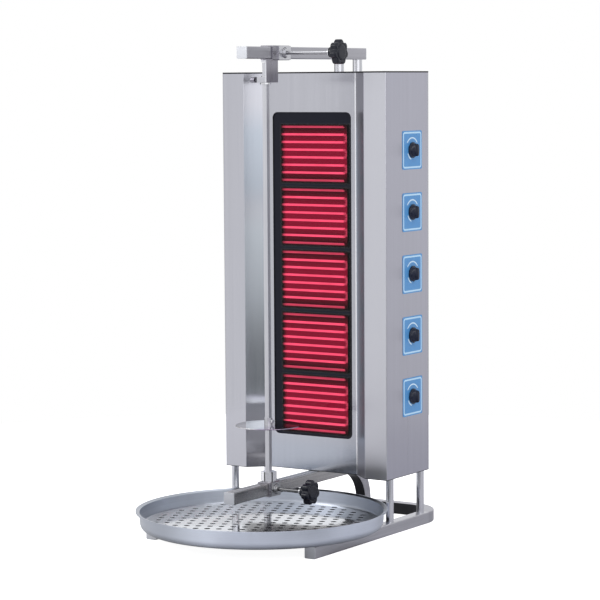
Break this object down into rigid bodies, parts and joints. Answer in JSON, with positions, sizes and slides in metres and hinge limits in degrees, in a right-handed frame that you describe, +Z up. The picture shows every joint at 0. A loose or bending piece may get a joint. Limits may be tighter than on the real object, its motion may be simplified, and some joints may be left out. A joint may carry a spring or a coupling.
{
  "type": "electric doner kebab grill",
  "caption": "Upright electric doner grill: heated cabinet with glass-covered elements, turning spit on sliding carriages, meat disc, side controls, and a round drip tray with perforated insert.",
  "frame": {"origin": "on the floor under the base, at the centre of the outline seen from above", "axes": "+Z up, +X towards the side with the control knobs, -Y towards the front with the tray"},
  "size_m": [0.633, 0.823, 1.2485],
  "materials": {
    "brushed_stainless": "fine vertical brushing",
    "stainless_tube": "satin, drawn along the tube",
    "polished_stainless": "mirror polish",
    "spun_aluminium": "satin, spun",
    "insert_sheet": "bright, perforated",
    "glass_ceramic": "black tinted, polished",
    "heating_element": "glowing ribbon",
    "fibre_board": "ceramic-fibre board",
    "gasket_rubber": "matte",
    "label_film": "blue film with pale lines",
    "black_knob": "black, lightly grained",
    "grey_plastic": "moulded",
    "black_plastic": "moulded",
    "zinc_steel": "zinc plated"
  },
  "bodies": {
    "frame": {"base_rail_left": "stainless_tube", "base_rail_right": "stainless_tube", "base_rear_bend": "stainless_tube", "cabinet_posts_front": "stainless_tube", "cabinet_posts_rear": "stainless_tube", "tube_end_plates": "stainless_tube", "lower_arm": "stainless_tube", "lower_arm_bend": "stainless_tube", "upper_arm": "stainless_tube", "upper_post_front": "stainless_tube", "upper_post_rear": "stainless_tube", "arm_mount_plate": "zinc_steel", "arm_bolts": "zinc_steel", "side_shell_left": "brushed_stainless", "side_shell_right": "brushed_stainless", "centre_panel": "brushed_stainless", "top_cover": "brushed_stainless", "bottom_plate": "brushed_stainless", "back_panel": "brushed_stainless", "rear_cover": "brushed_stainless", "cover_screws": "zinc_steel", "glass_panel": "glass_ceramic", "glass_gasket": "gasket_rubber", "glass_clips": "zinc_steel", "heater_pans": "zinc_steel", "heater_insulation": "fibre_board", "heating_ribbons": "heating_element", "heater_rails": "zinc_steel", "energy_regulators": "grey_plastic", "zone_labels": "label_film", "terminal_block": "grey_plastic", "cable_gland": "black_plastic", "wiring_loom": "black_plastic"},
    "lower_carriage": {"lower_slider": "stainless_tube", "thrust_washer": "polished_stainless"},
    "turning_spit": {"spit_socket": "polished_stainless", "spit": "stainless_tube", "bearing_collar": "polished_stainless"},
    "disc": {"meat_disc": "polished_stainless", "disc_hub": "polished_stainless", "disc_set_screw": "polished_stainless"},
    "upper_carriage": {"upper_slider": "stainless_tube", "spit_holder": "stainless_tube", "upper_bearing": "stainless_tube", "lock_pin_housing": "polished_stainless"},
    "locking_pin": {"lock_pin": "polished_stainless"},
    "lower_pad": {"lower_clamp_pad": "polished_stainless"},
    "lower_clamp": {"lower_clamp_screw": "polished_stainless", "lower_star_knob": "black_plastic"},
    "upper_pad": {"upper_clamp_pad": "polished_stainless"},
    "upper_clamp": {"upper_clamp_screw": "polished_stainless", "upper_star_knob": "black_plastic"},
    "tray": {"drip_tray": "spun_aluminium"},
    "insert": {"perforated_insert": "insert_sheet"},
    "knob_1": {"control_knob_1": "black_knob"},
    "knob_2": {"control_knob_2": "black_knob"},
    "knob_3": {"control_knob_3": "black_knob"},
    "knob_4": {"control_knob_4": "black_knob"},
    "knob_5": {"control_knob_5": "black_knob"}
  },
  "joints": [
    {"name": "carriage_slide", "type": "slide", "parent": "frame", "child": "lower_carriage", "axis": [0, 1, 0], "range_m": [-0.1, 0.06]},
    {"name": "upper_carriage_slide", "type": "slide", "parent": "frame", "child": "upper_carriage", "axis": [0, 1, 0], "range_m": [-0.1, 0.06]},
    {"name": "spit_spin", "type": "hinge", "parent": "lower_carriage", "child": "turning_spit", "pos_m": [0, -0.0615, 0.16], "axis": [0, 0, 1], "continuous": true},
    {"name": "disc_slide", "type": "slide", "parent": "turning_spit", "child": "disc", "axis": [0, 0, 1], "range_m": [-0.11, 0.7]},
    {"name": "lock_pin_push", "type": "slide", "parent": "upper_carriage", "child": "locking_pin", "axis": [1, 0, 0], "range_m": [0, 0.0035]},
    {"name": "tray_slide", "type": "slide", "parent": "frame", "child": "tray", "axis": [0, -1, 0], "range_m": [0, 0.25]},
    {"name": "insert_lift", "type": "slide", "parent": "tray", "child": "insert", "axis": [0, 0, 1], "range_m": [0, 0.04]},
    {"name": "lower_pad_slide", "type": "slide", "parent": "lower_carriage", "child": "lower_pad", "axis": [1, 0, 0], "range_m": [0, 0.0046]},
    {"name": "lower_clamp_turn", "type": "hinge", "parent": "lower_pad", "child": "lower_clamp", "pos_m": [0.06, -0.06075, 0.125], "axis": [1, 0, 0], "range_deg": [0, 1080]},
    {"name": "upper_pad_slide", "type": "slide", "parent": "upper_carriage", "child": "upper_pad", "axis": [1, 0, 0], "range_m": [0, 0.0046]},
    {"name": "upper_clamp_turn", "type": "hinge", "parent": "upper_pad", "child": "upper_clamp", "pos_m": [0.06, -0.0071, 1.217], "axis": [1, 0, 0], "range_deg": [0, 1080]},
    {"name": "knob_1_turn", "type": "hinge", "parent": "frame", "child": "knob_1", "pos_m": [0.248, 0.2347, 0.9708], "axis": [1, 0, 0], "range_deg": [-270, 0]},
    {"name": "knob_2_turn", "type": "hinge", "parent": "frame", "child": "knob_2", "pos_m": [0.248, 0.2347, 0.8134], "axis": [1, 0, 0], "range_deg": [-270, 0]},
    {"name": "knob_3_turn", "type": "hinge", "parent": "frame", "child": "knob_3", "pos_m": [0.248, 0.2347, 0.656], "axis": [1, 0, 0], "range_deg": [-270, 0]},
    {"name": "knob_4_turn", "type": "hinge", "parent": "frame", "child": "knob_4", "pos_m": [0.248, 0.2347, 0.4986], "axis": [1, 0, 0], "range_deg": [-270, 0]},
    {"name": "knob_5_turn", "type": "hinge", "parent": "frame", "child": "knob_5", "pos_m": [0.248, 0.2347, 0.3412], "axis": [1, 0, 0], "range_deg": [-270, 0]}
  ],
  "couplings": [
    {"joint": "upper_carriage_slide", "follows": "carriage_slide", "ratio": 1},
    {"joint": "lower_pad_slide", "follows": "lower_clamp_turn", "m_per_rad": 0.00023873},
    {"joint": "upper_pad_slide", "follows": "upper_clamp_turn", "m_per_rad": 0.00023873}
  ]
}
